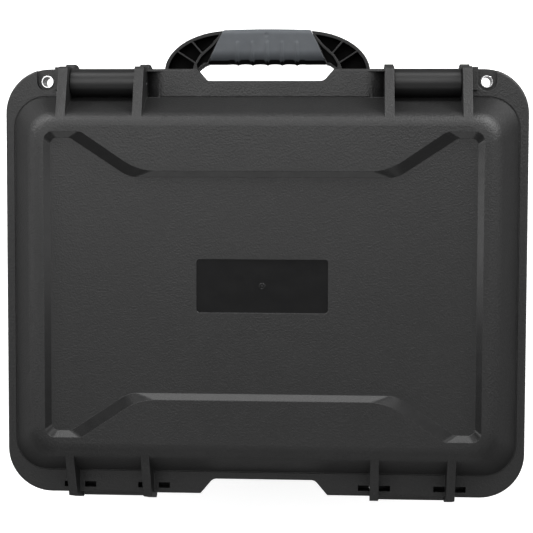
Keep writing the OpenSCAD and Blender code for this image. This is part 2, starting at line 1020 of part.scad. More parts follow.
base_shell();
lid_shell();
gasket();
lid_foam();
base_foam();
foam_pad();
latch_left();
latch_right();
latch_pin(-latch_x);  // latch_pin_left
latch_pin(latch_x);  // latch_pin_right
hinge_pin(hinge_left_x);  // hinge_pin_left
hinge_pin(hinge_right_x);  // hinge_pin_right
handle_core();
handle_grip();
handle_pin(-1);  // handle_pin_left
handle_pin(1);  // handle_pin_right
lid_eyelet(-1);  // lid_eyelet_left
lid_eyelet(1);  // lid_eyelet_right
base_eyelet(-1);  // base_eyelet_left
base_eyelet(1);  // base_eyelet_right
valve_body();
valve_cap();
valve_seal();
valve_membrane();
valve_nut();
foot(-foot_x, foot_front);  // foot_front_left
foot(foot_x, foot_front);  // foot_front_right
foot(-foot_x, foot_rear);  // foot_rear_left
foot(foot_x, foot_rear);  // foot_rear_right
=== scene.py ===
import math

import bmesh
import bpy
from mathutils import Matrix, Vector, noise


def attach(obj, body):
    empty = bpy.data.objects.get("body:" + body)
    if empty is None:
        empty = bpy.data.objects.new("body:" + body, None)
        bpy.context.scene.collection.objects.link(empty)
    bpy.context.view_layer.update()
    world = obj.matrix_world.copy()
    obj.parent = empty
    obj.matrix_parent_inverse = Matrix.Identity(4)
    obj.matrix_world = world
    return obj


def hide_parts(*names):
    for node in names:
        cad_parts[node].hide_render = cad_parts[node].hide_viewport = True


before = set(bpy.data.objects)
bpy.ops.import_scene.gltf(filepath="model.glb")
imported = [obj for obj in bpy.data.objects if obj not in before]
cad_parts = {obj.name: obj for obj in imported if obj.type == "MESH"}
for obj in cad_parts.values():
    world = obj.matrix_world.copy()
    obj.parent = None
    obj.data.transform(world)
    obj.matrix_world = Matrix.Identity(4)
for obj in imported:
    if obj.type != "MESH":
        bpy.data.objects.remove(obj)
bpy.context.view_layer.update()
MM = 0.001

# ---------------------------------------------------------------- node helpers


def new_material(name, gloss=0.5):
    """A node material with its Principled shader, ready to be wired."""
    mat = bpy.data.materials.new(name)
    mat.use_nodes = True
    nodes = mat.node_tree.nodes
    nodes.clear()
    out = nodes.new("ShaderNodeOutputMaterial")
    shader = nodes.new("ShaderNodeBsdfPrincipled")
    shader.inputs["Specular IOR Level"].default_value = gloss
    mat.node_tree.links.new(shader.outputs["BSDF"], out.inputs["Surface"])
    return mat, shader


def add(mat, kind, **values):
    """A node with its properties (lower case) and inputs (as named) set."""
    node = mat.node_tree.nodes.new(kind)
    for key, value in values.items():
        if hasattr(node, key):
            setattr(node, key, value)
        else:
            node.inputs[key.replace("_", " ")].default_value = value
    return node


def wire(mat, source, target):
    mat.node_tree.links.new(source, target)


def place_of(mat):
    return add(mat, "ShaderNodeTexCoord").outputs["Object"]


def noise_of(mat, scale, detail=3.0, roughness=0.55, stretch=None):
    """Cloudy noise over the object, drawn out along an axis where stretch says so."""
    tex = add(mat, "ShaderNodeTexNoise", Scale=scale, Detail=detail, Roughness=roughness)
    source = place_of(mat)
    if stretch:
        mapping = add(mat, "ShaderNodeMapping", Scale=stretch)
        wire(mat, source, mapping.inputs["Vector"])
        source = mapping.outputs["Vector"]
    wire(mat, source, tex.inputs["Vector"])
    return tex.outputs["Fac"]


def cells_of(mat, scale, feature="SMOOTH_F1"):
    """Distance to the middle of the nearest of many small cells."""
    tex = add(mat, "ShaderNodeTexVoronoi", feature=feature, Scale=scale)
    wire(mat, place_of(mat), tex.inputs["Vector"])
    return tex.outputs["Distance"]


def spread(mat, source, low, high, from_low=0.3, from_high=0.7):
    """Maps a texture's middle range on to low..high."""
    node = add(mat, "ShaderNodeMapRange")
    node.inputs["From Min"].default_value = from_low
    node.inputs["From Max"].default_value = from_high
    node.inputs["To Min"].default_value = low
    node.inputs["To Max"].default_value = high
    wire(mat, source, node.inputs["Value"])
    return node.outputs["Result"]


def ramp(mat, source, stops):
    """Turns a value into a colour through (position, colour) stops."""
    node = add(mat, "ShaderNodeValToRGB")
    band = node.color_ramp
    while len(band.elements) < len(stops):
        band.elements.new(0.5)
    for element, (at, colour) in zip(band.elements, stops):
        element.position = at
        element.color = (*colour, 1)
    wire(mat, source, node.inputs["Fac"])
    return node.outputs["Color"]


def mixed(mat, factor, a, b):
    """A blend of two colours; each is a socket or a plain colour."""
    node = add(mat, "ShaderNodeMix", data_type="RGBA")
    wire(mat, factor, node.inputs["Factor"])
    for source, name in ((a, "A"), (b, "B")):
        socket = [s for s in node.inputs if s.name == name and s.type == "RGBA"][0]
        if isinstance(source, tuple):
            socket.default_value = (*source, 1)
        else:
            wire(mat, source, socket)
    return [s for s in node.outputs if s.type == "RGBA"][0]


def edge_mask(mat, radius, low, high):
    """1 on rounded edges, 0 on flats: how far the bevelled normal leans from the true one."""
    bevel = add(mat, "ShaderNodeBevel", samples=6, Radius=radius)
    flat = add(mat, "ShaderNodeNewGeometry")
    dot = add(mat, "ShaderNodeVectorMath", operation="DOT_PRODUCT")
    wire(mat, bevel.outputs["Normal"], dot.inputs[0])
    wire(mat, flat.outputs["Normal"], dot.inputs[1])
    return spread(mat, dot.outputs["Value"], 1.0, 0.0, low, high)


def bump_chain(mat, shader, layers, rounding=0.0):
    """Bump layers as (height socket, strength, distance), over a rounded-edge normal."""
    normal = None
    if rounding:
        bevel = add(mat, "ShaderNodeBevel", samples=6, Radius=rounding)
        normal = bevel.outputs["Normal"]
    for height, strength, distance in layers:
        bump = add(mat, "ShaderNodeBump", Strength=strength, Distance=distance)
        wire(mat, height, bump.inputs["Height"])
        if normal:
            wire(mat, normal, bump.inputs["Normal"])
        normal = bump.outputs["Normal"]
    wire(mat, normal, shader.inputs["Normal"])


# ---------------------------------------------------------------- materials


def moulded(name, dark, light, rough, grain, grain_depth, gloss=0.45, rounding=0.0008, edge_wear_and_highlight=0.35):
    """Moulded plastic with a pebbled grain, slow tone drift and paler rounded edges, partly wear and partly
    a painted highlight.
    """
    mat, shader = new_material(name, gloss)
    drift = noise_of(mat, 9.0, 4.0)
    speckle = noise_of(mat, grain * 0.55, 2.0, 0.6)
    tone = ramp(mat, drift, [(0.3, dark), (0.7, light)])
    deep, pale = tuple(v * 0.72 for v in dark), tuple(v * 1.3 for v in light)
    fine = ramp(mat, speckle, [(0.35, deep), (0.65, pale)])
    body = mixed(mat, spread(mat, speckle, 0.15, 0.6), tone, fine)
    # Paler rounded edges: partly wear, partly a painted highlight along the edges.
    edge = spread(mat, edge_mask(mat, rounding * 1.8, 0.86, 0.995), 0.0, edge_wear_and_highlight, 0.0, 1.0)
    worn_and_lit = tuple(min(1.0, v * 2.2) for v in light)
    wire(mat, mixed(mat, edge, body, worn_and_lit), shader.inputs["Base Color"])
    wire(mat, spread(mat, noise_of(mat, 60.0), rough - 0.03, rough + 0.04), shader.inputs["Roughness"])
    pebbles = cells_of(mat, grain)
    bump_chain(mat, shader, [
        (noise_of(mat, 22.0, 2.0), 0.03, 0.0006),
        (pebbles, 0.8, grain_depth),
        (noise_of(mat, grain * 2.2, 2.0), 0.35, grain_depth * 0.5),
    ], rounding)
    return mat


def glossy(name, dark, light, rough, gloss=0.45):
    """Smoother plastic: low gloss with faint flow marks."""
    mat, shader = new_material(name, gloss)
    flow = noise_of(mat, 18.0, 4.0, 0.6, (1, 4, 4))
    wire(mat, ramp(mat, flow, [(0.3, dark), (0.7, light)]), shader.inputs["Base Color"])
    wire(mat, spread(mat, noise_of(mat, 90.0, 4.0), rough - 0.02, rough + 0.03), shader.inputs["Roughness"])
    bump_chain(mat, shader, [
        (noise_of(mat, 14.0, 2.0), 0.012, 0.0005), (noise_of(mat, 700.0, 2.0), 0.12, 0.00008),
    ], 0.0007)
    return mat


def rubbery(name, dark, light, rough, grain):
    """Matt rubber with a cloudy tone and a fine grain."""
    mat, shader = new_material(name)
    cloud = noise_of(mat, 35.0, 5.0)
    wire(mat, ramp(mat, cloud, [(0.3, dark), (0.7, light)]), shader.inputs["Base Color"])
    wire(mat, spread(mat, noise_of(mat, 120.0), rough - 0.07, rough + 0.07), shader.inputs["Roughness"])
    bump_chain(mat, shader, [(noise_of(mat, grain, 3.0), 0.35, 0.00012)], 0.0006)
    return mat


def metal(name, colour, rough, brush):
    """Turned or drawn steel with fine marks along the part."""
    mat, shader = new_material(name)
    shader.inputs["Metallic"].default_value = 1.0
    lines = noise_of(mat, 300.0, 3.0, 0.6, brush)
    stain = noise_of(mat, 60.0, 4.0)
    low = tuple(v * 0.72 for v in colour)
    wire(mat, ramp(mat, stain, [(0.3, low), (0.65, colour)]), shader.inputs["Base Color"])
    wire(mat, spread(mat, lines, rough - 0.06, rough + 0.12), shader.inputs["Roughness"])
    bump_chain(mat, shader, [(lines, 0.15, 0.00005)], 0.0002)
    return mat


def foam_material(name, dark, light):
    """Open-cell foam: tiny pits darkened with painted shade, and lint-grey strands between them."""
    mat, shader = new_material(name)
    pits = cells_of(mat, 900.0, "F1")
    cloud = noise_of(mat, 25.0, 5.0)
    base = ramp(mat, cloud, [(0.3, dark), (0.7, light)])
    strand = tuple(v * 1.9 for v in light)
    # Painted shade: the bottoms of the cell pits are much darker than the foam.
    pit_shade = tuple(v * 0.35 for v in dark)
    cell = ramp(mat, pits, [(0.12, pit_shade), (0.5, light), (0.9, strand)])
    wire(mat, mixed(mat, spread(mat, cloud, 0.45, 0.7), base, cell), shader.inputs["Base Color"])
    shader.inputs["Sheen Weight"].default_value = 0.25
    shader.inputs["Sheen Roughness"].default_value = 0.5
    wire(mat, spread(mat, pits, 0.85, 1.0, 0.0, 1.0), shader.inputs["Roughness"])
    bump_chain(mat, shader, [(pits, 0.8, 0.0005), (noise_of(mat, 260.0, 3.0), 0.4, 0.0006)])
    return mat


def woven(name, dark, light):
    """A thin sheet with crossing threads."""
    mat, shader = new_material(name)
    threads = add(mat, "ShaderNodeTexChecker", Scale=2600.0)
    wire(mat, place_of(mat), threads.inputs["Vector"])
    cloud = noise_of(mat, 400.0, 4.0)
    wire(mat, ramp(mat, cloud, [(0.3, dark), (0.7, light)]), shader.inputs["Base Color"])
    wire(mat, spread(mat, cloud, 0.7, 0.95), shader.inputs["Roughness"])
    bump_chain(mat, shader, [(threads.outputs["Fac"], 0.4, 0.00008)])
    return mat


FLOOR_TONES = ((0.86, 0.86, 0.86), (0.88, 0.88, 0.88))
FLOOR_GLOW = 0.62


def floor_material():
    """A pale floor that glows a little, so that it comes out white."""
    mat, shader = new_material("studio_floor")
    cloud = noise_of(mat, 1.5, 3.0)
    dark, light = FLOOR_TONES
    wire(mat, ramp(mat, cloud, [(0.3, dark), (0.7, light)]), shader.inputs["Base Color"])
    wire(mat, spread(mat, cloud, 0.75, 0.85), shader.inputs["Roughness"])
    shader.inputs["Specular IOR Level"].default_value = 0.2
    shader.inputs["Emission Color"].default_value = (1, 1, 1, 1)
    shader.inputs["Emission Strength"].default_value = FLOOR_GLOW
    bump_chain(mat, shader, [(noise_of(mat, 300.0), 0.1, 0.0002)])
    return mat


SHELL = moulded("shell_grain", (0.0052, 0.0052, 0.0053), (0.0085, 0.0085, 0.0086), 0.5, 720.0, 0.00032)
BEVEL = glossy("bevel_smooth", (0.005, 0.005, 0.0051), (0.007, 0.007, 0.0071), 0.22)
NAME_PLATE = glossy("name_recess_smooth", (0.0045, 0.0045, 0.0047), (0.006, 0.006, 0.0062), 0.24, 0.3)
LATCH = glossy("latch_gloss", (0.003, 0.003, 0.0031), (0.0045, 0.0045, 0.0047), 0.4, 0.4)
HANDLE = moulded("handle_grain", (0.003, 0.003, 0.0031), (0.005, 0.005, 0.0051), 0.42, 1200.0, 0.0001, 0.26)
# Near-black painted shade for the handle's hollows and the padlock recesses.
POCKET_SHADE = glossy("recess_shade", (0.0015, 0.0015, 0.0015), (0.0025, 0.0025, 0.0025), 0.6, 0.05)
GRIP = rubbery("grip_rubber_skin", (0.044, 0.049, 0.055), (0.054, 0.06, 0.067), 0.66, 900.0)
SEAL = rubbery("seal_rubber_skin", (0.01, 0.01, 0.01), (0.02, 0.02, 0.02), 0.6, 500.0)
FOOT = rubbery("foot_rubber_skin", (0.018, 0.018, 0.018), (0.03, 0.03, 0.03), 0.75, 500.0)
STEEL = metal("pin_steel", (0.55, 0.55, 0.56), 0.32, (1, 14, 14))
EYELET = metal("eyelet_steel_skin", (0.82, 0.82, 0.83), 0.2, (6, 6, 1))
FOAM = foam_material("foam_cells", (0.012, 0.012, 0.013), (0.024, 0.024, 0.026))
VALVE = glossy("valve_plastic_skin", (0.012, 0.012, 0.012), (0.02, 0.02, 0.02), 0.45)
MEMBRANE = woven("membrane_weave", (0.6, 0.6, 0.6), (0.75, 0.75, 0.75))

NODE_LOOKS = {
    "base_shell": SHELL, "lid_shell": SHELL, "gasket": SEAL,
    "lid_foam": FOAM, "base_foam": FOAM, "foam_pad": FOAM,
    "latch_left": LATCH, "latch_right": LATCH,
    "latch_pin_left": STEEL, "latch_pin_right": STEEL,
    "hinge_pin_left": STEEL, "hinge_pin_right": STEEL,
    "handle_core": HANDLE, "handle_grip": GRIP,
    "handle_pin_left": STEEL, "handle_pin_right": STEEL,
    "lid_eyelet_left": EYELET, "lid_eyelet_right": EYELET,
    "base_eyelet_left": EYELET, "base_eyelet_right": EYELET,
    "valve_body": VALVE, "valve_cap": VALVE, "valve_seal": SEAL,
    "valve_membrane": MEMBRANE, "valve_nut": VALVE,
    "foot_front_left": FOOT, "foot_front_right": FOOT,
    "foot_rear_left": FOOT, "foot_rear_right": FOOT,
}


def dress(obj, mat):
    """Gives an object one material in place of any it had."""
    obj.data.materials.clear()
    obj.data.materials.append(mat)


for node_name, look in NODE_LOOKS.items():
    dress(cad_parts[node_name], look)

# ---------------------------------------------------------------- pieces


def bridge(bm, a, b):
    """A closed band of quads between two rings of vertices."""
    for i in range(len(a)):
        j = (i + 1) % len(a)
        bm.faces.new((a[i], a[j], b[j], b[i]))


def new_piece(name, bm, mat, body, replaced=()):
    """Turns a finished bmesh into a piece that rides on a body."""
    mesh = bpy.data.meshes.new(name)
    bm.to_mesh(mesh)
    bm.free()
    obj = bpy.data.objects.new(name, mesh)
    bpy.context.scene.collection.objects.link(obj)
    dress(obj, mat)
    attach(obj, body)
    if replaced:
        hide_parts(*replaced)
    return obj


def clean_copy(node):
    """The CAD node's surface with doubled points welded and flat faces made whole."""
    bm = bmesh.new()
    bm.from_mesh(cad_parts[node].data)
    bmesh.ops.remove_doubles(bm, verts=bm.verts, dist=1e-5)
    bmesh.ops.dissolve_limit(bm, angle_limit=math.radians(0.6), verts=bm.verts, edges=bm.edges)
    bmesh.ops.recalc_face_normals(bm, faces=bm.faces)
    return bm


def soften(obj, angle=22, also_crisp=None):
    """Smooth shading that stays crisp at edges sharper than the angle, and at chosen edges."""
    mesh = obj.data
    bm = bmesh.new()
    bm.from_mesh(mesh)
    for face in bm.faces:
        face.smooth = True
    for edge in bm.edges:
        edge.smooth = edge.is_manifold and edge.calc_face_angle() < math.radians(angle)
        if also_crisp and also_crisp(edge):
            edge.smooth = False
    bm.to_mesh(mesh)
    bm.free()
    weighted = obj.modifiers.new("even_normals", "WEIGHTED_NORMAL")
    weighted.keep_sharp = True
    weighted.weight = 80
    return obj


def skin_of(node, name, mat, body, also_crisp=None):
    """A smooth-shaded copy of a CAD node that stands for it."""
    piece = new_piece(name, clean_copy(node), mat, body, (node,))
    return soften(piece, also_crisp=also_crisp)


def paint(obj, mat, chosen):
    """Gives the faces that pass the test a second material."""
    obj.data.materials.append(mat)
    index = len(obj.data.materials) - 1
    for poly in obj.data.polygons:
        if chosen(poly):
            poly.material_index = index


def carve(obj, outline, low, high):
    """Cuts a recess of an (x, y) outline, and its mirror image, into a piece."""
    bm = bmesh.new()
    for side in (1, -1):
        rings = [[bm.verts.new((side * x, y, z)) for x, y in outline] for z in (low, high)]
        bridge(bm, *rings)
        for ring in rings:
            bm.faces.new(ring)
    bmesh.ops.recalc_face_normals(bm, faces=bm.faces)
    mesh = bpy.data.meshes.new("recess_cutter")
    bm.to_mesh(mesh)
    bm.free()
    cutter = bpy.data.objects.new("recess_cutter", mesh)
    bpy.context.scene.collection.objects.link(cutter)
    cut = obj.modifiers.new("recess", "BOOLEAN")
    cut.operation = "DIFFERENCE"
    cut.solver = "EXACT"
    cut.object = cutter
    bpy.context.view_layer.update()
    shape = obj.evaluated_get(bpy.context.evaluated_depsgraph_get())
    carved = bpy.data.meshes.new_from_object(shape)
    obj.modifiers.remove(cut)
    obj.data = carved
    bpy.data.objects.remove(cutter)
    bpy.data.meshes.remove(mesh)


LID_TOP = 0.190
PANEL_DEEP = 0.0045
PANEL_REACH_X, PANEL_REACH_Y = 0.188, 0.133
NAME_REACH_X, NAME_REACH_Y = 0.058, 0.024
MID_Y = 0.0145
LOCK = Vector((0.1917, -0.1615))
LOCK_FLOOR = 0.149


def is_bevel(poly):
    """The sloping rim of the sunk panel."""
    c, n = poly.center, poly.normal
    inside = abs(c.x) < PANEL_REACH_X and abs(c.y - MID_Y) < PANEL_REACH_Y
    return inside and LID_TOP - PANEL_DEEP < c.z < LID_TOP and 0.3 < n.z < 0.95


def is_name_floor(poly):
    """The floor and sloping edge of the name recess."""
    c = poly.center
    inside = abs(c.x) < NAME_REACH_X and abs(c.y - MID_Y) < NAME_REACH_Y
    sunk = LID_TOP - 0.007 < c.z < LID_TOP - PANEL_DEEP - 0.0005
    return inside and sunk and poly.normal.z > 0.3


def on_lid_outline(edge):
    """The faint crease where the dome's shoulder meets its flat top."""
    level = all(abs(v.co.z - LID_TOP) < 0.00005 for v in edge.verts)
    return level and edge.is_manifold and edge.calc_face_angle() > math.radians(2)


def in_lock_recess(poly):
    """The walls of the padlock recesses, which get a near-black painted shade."""
    c = poly.center
    near = math.hypot(abs(c.x) - LOCK.x, c.y - LOCK.y) < 0.009
    return near and abs(poly.normal.z) < 0.3 and LOCK_FLOOR < c.z < LOCK_FLOOR + 0.006


lid_skin = skin_of("lid_shell", "lid_moulding", SHELL, "lid", also_crisp=on_lid_outline)
paint(lid_skin, BEVEL, is_bevel)
paint(lid_skin, NAME_PLATE, is_name_floor)
# Painted shade: the padlock recess walls get the near-black recess material.
paint(lid_skin, POCKET_SHADE, in_lock_recess)
skin_of("base_shell", "base_moulding", SHELL, "base")


HANDLE_TOP = 0.125
HANDLE_MID = 0.115
ARM_OUTSIDE, ARM_END = -0.2055, -0.1722
ARM_GAP_FLOOR = 0.118
ARM_GAP = [Vector(p) * MM for p in (
    (43.8, -199.5), (48.5, -194.0), (58.3, -185.3), (62.6, -178.2),
    (62.0, -174.6), (55.8, -179.8), (53.1, -179.8))]


def is_arm_pocket(poly):
    """The floors and walls of the hollows in the arms of the handle, which get a near-black painted shade.
    """
    c, n = poly.center, poly.normal
    in_arm = ARM_OUTSIDE < c.y < ARM_END and abs(c.x) > 0.041
    if not in_arm or c.z > HANDLE_TOP - 0.0005:
        return False
    return n.z > 0.9 or (abs(n.z) < 0.5 and c.z > HANDLE_MID + 0.001)


handle_frame = new_piece("handle_frame", clean_copy("handle_core"), HANDLE, "handle",
                         ("handle_core",))
carve(handle_frame, ARM_GAP, ARM_GAP_FLOOR, HANDLE_TOP + 0.002)
# Painted shade: the floors and walls of the arm hollows get the near-black recess material.
paint(handle_frame, POCKET_SHADE, is_arm_pocket)
soften(handle_frame)
skin_of("latch_left", "latch_lever_left", LATCH, "latch_left")
skin_of("latch_right", "latch_lever_right", LATCH, "latch_right")

# ---------------------------------------------------------------- rubber and foam


def rounded_outline(corners, step):
    """Points about a step apart round a closed outline of (x, y, radius) corners."""
    arcs = []
    for i, (x, y, r) in enumerate(corners):
        p = Vector((x, y))
        u = (Vector(corners[i - 1][:2]) - p).normalized()
        v = (Vector(corners[(i + 1) % len(corners)][:2]) - p).normalized()
        half = u.angle(v) / 2
        centre = p + (u + v).normalized() * (r / math.sin(half))
        first = (p + u * (r / math.tan(half)) - centre).normalized()
        last = (p + v * (r / math.tan(half)) - centre).normalized()
        count = max(3, round(r * (math.pi - 2 * half) / step))
        arcs.append([centre + r * first.slerp(last, k / count) for k in range(count + 1)])
    points = []
    for i, arc in enumerate(arcs):
        points += arc
        start, end = arc[-1], arcs[(i + 1) % len(arcs)][0]
        count = int((end - start).length / step)
        points += [start.lerp(end, k / count) for k in range(1, count)]
    return points


def fade(value, low, high):
    """0 below low, 1 above high, and a smooth rise between."""
    t = min(1.0, max(0.0, (value - low) / (high - low)))
    return t * t * (3 - 2 * t)


GRIP_OUT, GRIP_IN = -0.2095, -0.1785
GRIP_HEIGHT = 0.025
GRIP_HALF_OUT, GRIP_HALF_IN = 0.0388, 0.0527
RIB_PITCH = 0.0132
RIB_START = -0.1968
RIB_HEIGHT = 0.0007
SCALLOP_DEPTH = 0.0003
MARK_DEPTH = 0.0006
GRIP_MARK = Vector((0.0006, -0.2045))


def grip_relief(x, y, z):
    """How far the grip's surface stands out at a point: five finger ribs and a shallow round mark."""
    centre = RIB_PITCH * max(-2, min(2, round(x / RIB_PITCH)))
    lead = RIB_START - y
    away = math.hypot(x - centre, max(0.0, lead))
    rib = RIB_HEIGHT * (1 - fade(away, 0.0004, 0.0022))
    side = fade(y, GRIP_IN - 0.006, GRIP_IN) * (1 - fade(abs(x), 0.030, 0.036))
    scallop = -SCALLOP_DEPTH * side * (0.5 - 0.5 * math.cos(2 * math.pi * x / RIB_PITCH))
    mark = 0.0
    if z > HANDLE_MID:
        near = (Vector((x, y)) - GRIP_MARK).length
        mark = -MARK_DEPTH * (1 - fade(near, 0.0010, 0.0022))
    return rib + scallop + mark


def grip_section():
    """The sleeve's section as (y, height above the handle's middle), rounder on the finger side."""
    half = GRIP_HEIGHT / 2
    outer_r, inner_r = 0.0045, 0.0122
    return rounded_outline([
        (GRIP_OUT, half, outer_r), (GRIP_IN, half, inner_r),
        (GRIP_IN, -half, inner_r), (GRIP_OUT, -half, outer_r)], 0.0009)


def grip_stations(count=150):
    """Places along the sleeve from -1 to 1, and how far the section is drawn in at each."""
    ends = [(1.0, 0.0005), (0.996, 0.0002), (0.988, 0.0001)]
    start = [(-u, inset) for u, inset in ends]
    middle = [(-0.98 + 1.96 * k / count, 0.0) for k in range(count + 1)]
    return start + middle + ends[::-1]


def grip_ring(bm, section, u, inset):
    """The section's vertices at one place along the sleeve."""
    middle = Vector(((GRIP_OUT + GRIP_IN) / 2, 0))
    ring = []
    for i, p in enumerate(section):
        tangent = section[(i + 1) % len(section)] - section[i - 1]
        outward = Vector((tangent.y, -tangent.x)).normalized()
        if outward.dot(p - middle) < 0:
            outward.negate()
        t = (p.x - GRIP_OUT) / (GRIP_IN - GRIP_OUT)
        x = u * (GRIP_HALF_OUT + (GRIP_HALF_IN - GRIP_HALF_OUT) * t)
        bow = 0.0008 * (x / GRIP_HALF_OUT) ** 2 * (1 - fade(t, 0.0, 0.5))
        q = p + outward * (grip_relief(x, p.x, HANDLE_MID + p.y) - inset)
        ring.append(bm.verts.new((x, q.x + bow, HANDLE_MID + q.y)))
    return ring


def grip_sleeve():
    """The soft sleeve on the handle's bar; its finger side gets the darker handle material as painted
    shade.
    """
    bm = bmesh.new()
    section = grip_section()
    rings = [grip_ring(bm, section, u, inset) for u, inset in grip_stations()]
    for a, b in zip(rings, rings[1:]):
        bridge(bm, a, b)
    bm.faces.new(rings[0])
    bm.faces.new(rings[-1])
    bmesh.ops.recalc_face_normals(bm, faces=bm.faces)
    sleeve = new_piece("grip_sleeve", bm, GRIP, "handle", ("handle_grip",))
    # Painted shade: faces turned to the finger side get the darker handle material.
    paint(sleeve, HANDLE, lambda poly: poly.normal.y > 0.72)
    return soften(sleeve, 50)


FLANGE_TOP = 0.154
BODY_X = 0.2195
BODY_FRONT, BODY_REAR = -0.1475, 0.1809
DOME_R = 0.027
FOAM_TOP = 0.138


def plan_ring(inset, z, extra=(0.0, 0.0, 0.0), radius_less=0.0):
    """Half width, front, rear, radius and height of a rounded outline drawn in from the case body."""
    return (BODY_X - inset - extra[0], BODY_FRONT + inset + extra[1], BODY_REAR - inset - extra[2],
            DOME_R - inset - radius_less, z)


def settle(x, y, ring):
    """The nearest point inside a rounded outline, and whether the point was outside it."""
    hx, y0, y1, r, _ = ring
    core = Vector((max(r - hx, min(hx - r, x)), max(y0 + r, min(y1 - r, y))))
    away = Vector((x, y)) - core
    outside = away.length > r * 1.0001
    if outside:
        away *= r / away.length
    return core + away, outside


def grid_cap(bm, ring, step, height):
    """A grid over a rounded outline, raised to height(x, y)."""
    hx, y0, y1, _, _ = ring
    nx, ny = round(2 * hx / step), round((y1 - y0) / step)
    rows = []
    for j in range(ny + 1):
        row = []
        for i in range(nx + 1):
            spot, outside = settle(-hx + 2 * hx * i / nx, y0 + (y1 - y0) * j / ny, ring)
            row.append((bm.verts.new((spot.x, spot.y, height(spot.x, spot.y))), outside))
        rows.append(row)
    for a, b in zip(rows, rows[1:]):
        for i in range(nx):
            cell = (a[i], a[i + 1], b[i + 1], b[i])
            if not all(outside for _, outside in cell):
                bm.faces.new([vert for vert, _ in cell])
    bmesh.ops.delete(bm, geom=[v for v in bm.verts if not v.link_faces], context="VERTS")


def soft_block(name, rings, step, height, body, node):
    """A foam block: a modelled face over the first ring, soft sides through the rest, a closed end."""
    bm = bmesh.new()
    grid_cap(bm, rings[0], step, height)
    edges = [e for e in bm.edges if e.is_boundary]
    for ring in rings[1:]:
        grown = bmesh.ops.extrude_edge_only(bm, edges=edges)["geom"]
        for vert in (g for g in grown if isinstance(g, bmesh.types.BMVert)):
            spot, _ = settle(vert.co.x, vert.co.y, ring)
            vert.co = (spot.x, spot.y, ring[4])
        edges = [g for g in grown if isinstance(g, bmesh.types.BMEdge)]
    bmesh.ops.holes_fill(bm, edges=edges, sides=0)
    bmesh.ops.recalc_face_normals(bm, faces=bm.faces)
    obj = soften(new_piece(name, bm, FOAM, body, (node,)), 50)
    return obj


SHOULDER = Vector((0.5, 0.72))
BEND = Vector((0.69, 0.98))
TOP = Vector((1.0, 1.0))


def dome_levels(count):
    """How far in and how far up the lid's dome has come: a straight slope, then a curved shoulder."""
    steps = [k / count for k in range(count + 1)]
    curve = [SHOULDER * (1 - k) ** 2 + BEND * (2 * k * (1 - k)) + TOP * (k * k) for k in steps]
    return [Vector((0, 0)), SHOULDER / 2] + curve


EGG_PITCH = 0.040
EGG_DEEP = 0.013


def edge_fade(x, y, ring, width):
    """0 on the outline, rising to 1 at a width inside it."""
    hx, y0, y1, _, _ = ring
    return fade(min(hx - abs(x), y - y0, y1 - y), 0.0, width)


def lid_foam_piece():
    """Egg-crate foam that fills the lid, its waves facing down."""
    gap, rise, radius_less = 0.0046, 0.027, 0.008
    side_in, front_in, rear_in = 0.0305, 0.025, 0.0294
    first = plan_ring(0.0050, 0.152)

    def waves(x, y):
        wave = math.cos(2 * math.pi * x / EGG_PITCH) * math.cos(2 * math.pi * (y - MID_Y) / EGG_PITCH)
        return first[4] + edge_fade(x, y, first, 0.016) * (EGG_DEEP * (0.5 - 0.5 * wave) - 0.0018)

    rings = [first, plan_ring(gap, 0.1535)]
    for drawn, raised in dome_levels(6):
        extra = (side_in * drawn, front_in * drawn, rear_in * drawn)
        rings.append(plan_ring(gap, FLANGE_TOP + rise * raised, extra, radius_less * drawn))
    return soft_block("egg_crate_foam", rings, 0.004, waves, "lid", "lid_foam")


def pad_piece():
    """The pad under the cut foam, slightly crowned and soft at its rim."""
    gap, waist, fall, roundness = 0.0102, 0.028, 0.0195, 0.9
    first = plan_ring(0.0125, 0.0318)

    def crown(x, y):
        unevenness = 0.0004 * noise.noise((x * 14, y * 14, 1.0))
        return first[4] + 0.0016 * edge_fade(x, y, first, 0.02) + unevenness

    rings = [first, plan_ring(gap, 0.0305), plan_ring(0.0100, waist)]
    for angle in (30, 50, 70, 90):
        a = math.radians(angle)
        drawn = 0.020 * (1 - max(0.0, math.cos(a)) ** roundness)
        level = waist - fall * math.sin(a) ** roundness
        rings.append(plan_ring(gap, level, (drawn,) * 3, 0.3 * drawn))
    return soft_block("bottom_pad", rings, 0.006, crown, "base", "foam_pad")


def cut_foam_piece():
    """The cut foam with its rim and every pocket edge pressed soft."""
    bm = clean_copy("base_foam")
    soft = bm.edges.layers.float.new("bevel_weight_edge")
    for edge in bm.edges:
        at_top = min(v.co.z for v in edge.verts) > FOAM_TOP - 0.0001
        if at_top and edge.is_manifold and edge.calc_face_angle() > 1.0:
            edge[soft] = 1.0
    obj = new_piece("cut_foam_insert", bm, FOAM, "base", ("base_foam",))
    bevel = obj.modifiers.new("soft_edges", "BEVEL")
    bevel.limit_method = "WEIGHT"
    bevel.width = 0.0026
    bevel.segments = 3
    bevel.use_clamp_overlap = False
    soften(obj, 60)
    return obj


